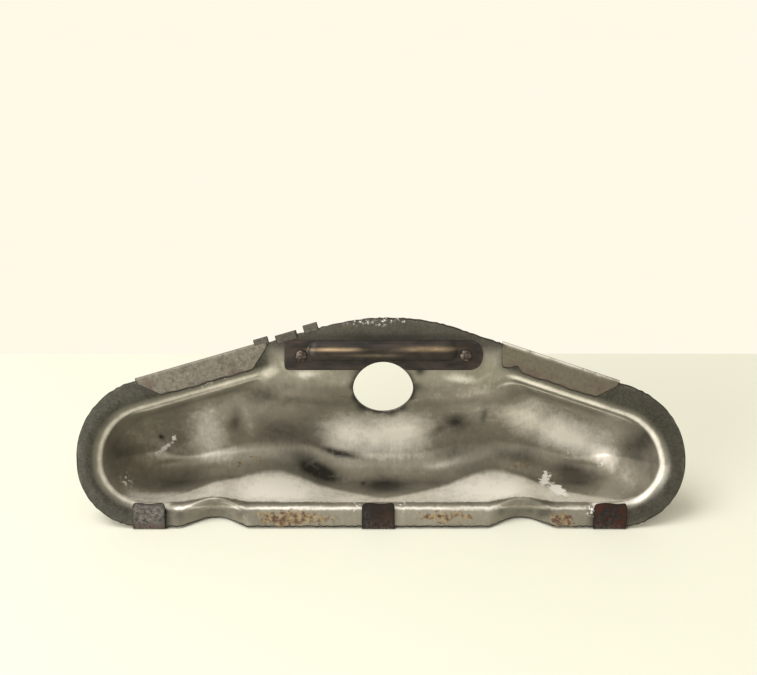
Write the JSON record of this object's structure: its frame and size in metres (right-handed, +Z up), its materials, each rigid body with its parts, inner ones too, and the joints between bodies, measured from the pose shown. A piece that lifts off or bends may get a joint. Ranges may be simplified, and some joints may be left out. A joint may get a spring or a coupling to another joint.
{
  "type": "exhaust heat shield",
  "caption": "Long pressed steel dish with rounded ends, a sloped floor, a round sensor hole, a riveted beaded strap and folded tabs; shields against the heat of an exhaust manifold.",
  "frame": {"origin": "middle of the bounding box in plan, on the table the shield stands on", "axes": "+X along the length of the shield, to the right when looking into the dish; +Y to the back of the dish; +Z up"},
  "size_m": [0.425, 0.0776, 0.1417],
  "materials": {
    "inner_steel": "mottled grey coated sheet steel, sooty and stained by heat",
    "outer_steel": "weathered grainy coated sheet steel with rust on its cut edges",
    "strap_steel": "dark heat-tinted steel",
    "rivet_steel": "heat-tinted steel"
  },
  "bodies": {
    "root": {"inner_sheet": "inner_steel", "outer_sheet": "outer_steel", "stiffener_strap": "strap_steel", "left_rivet": "rivet_steel", "right_rivet": "rivet_steel"}
  },
  "joints": []
}
